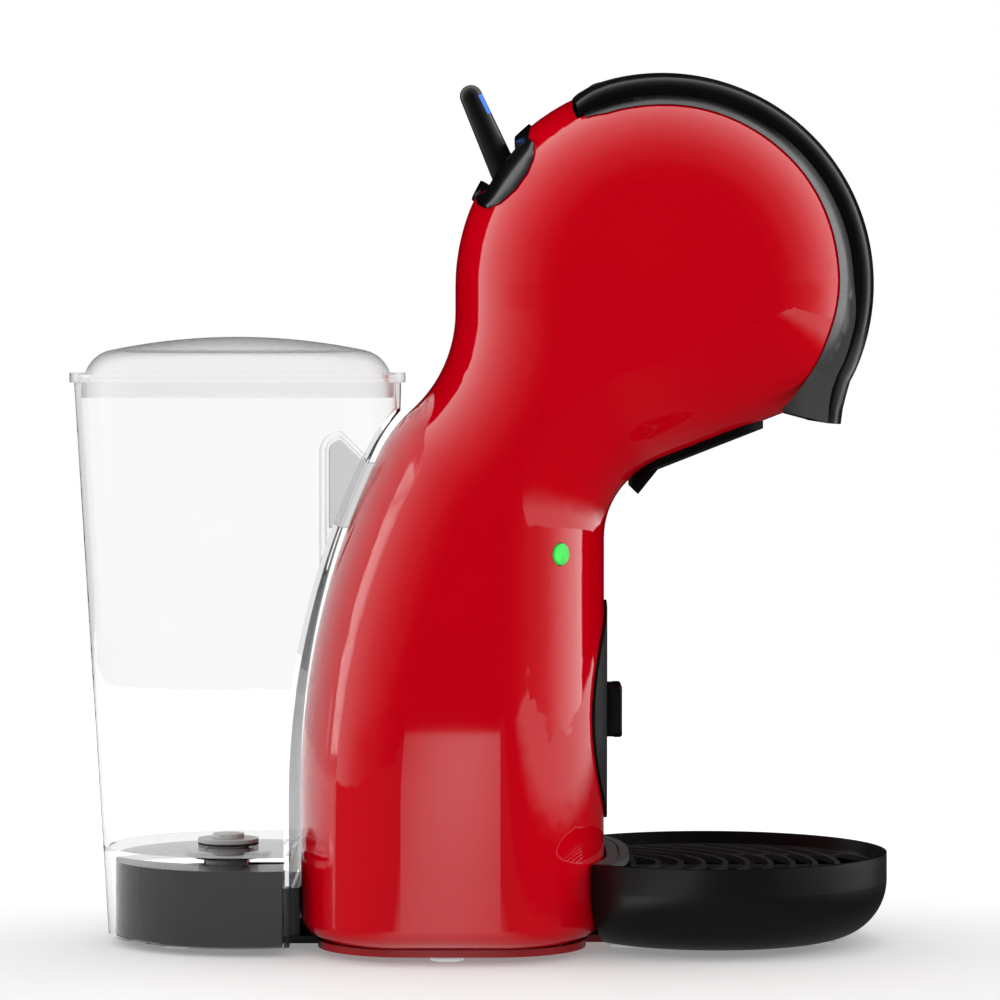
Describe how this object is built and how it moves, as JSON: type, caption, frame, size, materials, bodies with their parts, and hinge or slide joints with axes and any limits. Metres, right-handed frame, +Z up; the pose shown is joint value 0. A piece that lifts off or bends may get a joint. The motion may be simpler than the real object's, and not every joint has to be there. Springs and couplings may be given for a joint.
{
  "type": "pod coffee machine",
  "caption": "Compact upright pod coffee machine with a round head, swing-up locking handle, pull-out capsule holder, clear lift-off water tank and removable drip tray.",
  "frame": {"origin": "centre of the bounding box in plan, on the floor the feet stand on", "axes": "+X to the front, where the drip tray is; +Z up; the plane Y = 0 is the plane of symmetry of the housing"},
  "size_m": [0.27, 0.132, 0.287],
  "materials": {
    "red_shell": "gloss",
    "black_gloss": "gloss",
    "black_satin": "satin",
    "dark_grey": "satin",
    "ledge_grey": "matte",
    "clear_tank": "clear gloss",
    "frosted_lid": "clear, slightly frosted",
    "light_grey": "satin",
    "plinth_grey": "satin",
    "foot_white": "translucent",
    "button_green": "lit",
    "mark_blue": "satin",
    "mark_red": "satin",
    "valve_white": "satin",
    "seal_rubber": "matte",
    "steel": "brushed",
    "inner_plastic": "matte",
    "heater_metal": "cast",
    "board_green": "satin",
    "hose_silicone": "translucent"
  },
  "bodies": {
    "machine": {"left_shell": "red_shell", "right_shell": "red_shell", "lever_bezel": "black_gloss", "tray_hook": "black_gloss", "front_plate": "black_gloss", "underside_cover": "black_satin", "front_frame": "dark_grey", "base_plate": "dark_grey", "tank_hook": "light_grey", "tank_plinth": "plinth_grey", "inlet_seat": "plinth_grey", "base_feet": "foot_white", "inlet_seal": "seal_rubber", "pump_mounts": "seal_rubber", "hinge_pin": "steel", "shell_screws": "steel", "guide_posts": "steel", "pump_yoke": "steel", "thermal_fuse": "steel", "injector_bridge": "inner_plastic", "feed_gland": "inner_plastic", "mixing_valve": "inner_plastic", "chassis": "inner_plastic", "mains_terminal": "inner_plastic", "cord_gland": "inner_plastic", "pump": "inner_plastic", "tact_switch": "inner_plastic", "thermoblock": "heater_metal", "thermostat": "heater_metal", "control_board": "board_green", "inlet_hose": "hose_silicone", "pump_hose": "hose_silicone", "boiler_hose": "hose_silicone", "hot_hose": "hose_silicone", "head_hose": "hose_silicone"},
    "handle": {"handle": "black_gloss", "handle_cheeks": "dark_grey"},
    "holder": {"capsule_holder": "dark_grey"},
    "injector": {"injector": "inner_plastic", "injector_seal": "seal_rubber", "needle": "steel"},
    "lever": {"lever": "black_satin", "cold_mark": "mark_blue", "hot_mark": "mark_red", "lever_shaft": "steel"},
    "button": {"power_button": "button_green"},
    "tank": {"tank": "clear_tank", "valve_body": "valve_white", "valve_seal": "seal_rubber"},
    "poppet": {"valve_poppet": "valve_white"},
    "lid": {"tank_lid": "frosted_lid"},
    "tray": {"drip_tray": "black_satin", "tray_ledge": "ledge_grey", "tray_feet": "foot_white"},
    "grid": {"drip_grid": "black_satin"}
  },
  "joints": [
    {"name": "handle_swing", "type": "hinge", "parent": "machine", "child": "handle", "pos_m": [0.04024, 0, 0.27435], "axis": [0, -1, 0], "range_deg": [0, 65]},
    {"name": "holder_slide", "type": "slide", "parent": "machine", "child": "holder", "axis": [1, 0, 0], "range_m": [0, 0.045]},
    {"name": "injector_lift", "type": "slide", "parent": "machine", "child": "injector", "axis": [0, 0, 1], "range_m": [0, 0.01]},
    {"name": "lever_tilt", "type": "hinge", "parent": "machine", "child": "lever", "pos_m": [0.0129, 0, 0.2441], "axis": [0.915, 0, 0.4035], "range_deg": [-25, 25]},
    {"name": "button_press", "type": "slide", "parent": "machine", "child": "button", "axis": [-0.7359, 0.6771, 0], "range_m": [0, 0.001], "stiffness_N_per_m": 800, "springref_m": -0.0005},
    {"name": "tank_lift", "type": "slide", "parent": "machine", "child": "tank", "axis": [0, 0, 1], "range_m": [0, 0.06]},
    {"name": "poppet_lift", "type": "slide", "parent": "tank", "child": "poppet", "axis": [0, 0, 1], "range_m": [0, 0.0025], "stiffness_N_per_m": 100, "springref_m": -0.002},
    {"name": "lid_lift", "type": "slide", "parent": "tank", "child": "lid", "axis": [0, 0, 1], "range_m": [0, 0.04]},
    {"name": "tray_slide", "type": "slide", "parent": "machine", "child": "tray", "axis": [1, 0, 0], "range_m": [0, 0.06]},
    {"name": "grid_lift", "type": "slide", "parent": "tray", "child": "grid", "axis": [0, 0, 1], "range_m": [0, 0.03]}
  ],
  "couplings": [
    {"joint": "holder_slide", "follows": "handle_swing", "m_per_rad": 0.03966},
    {"joint": "injector_lift", "follows": "handle_swing", "m_per_rad": 0.00881}
  ]
}
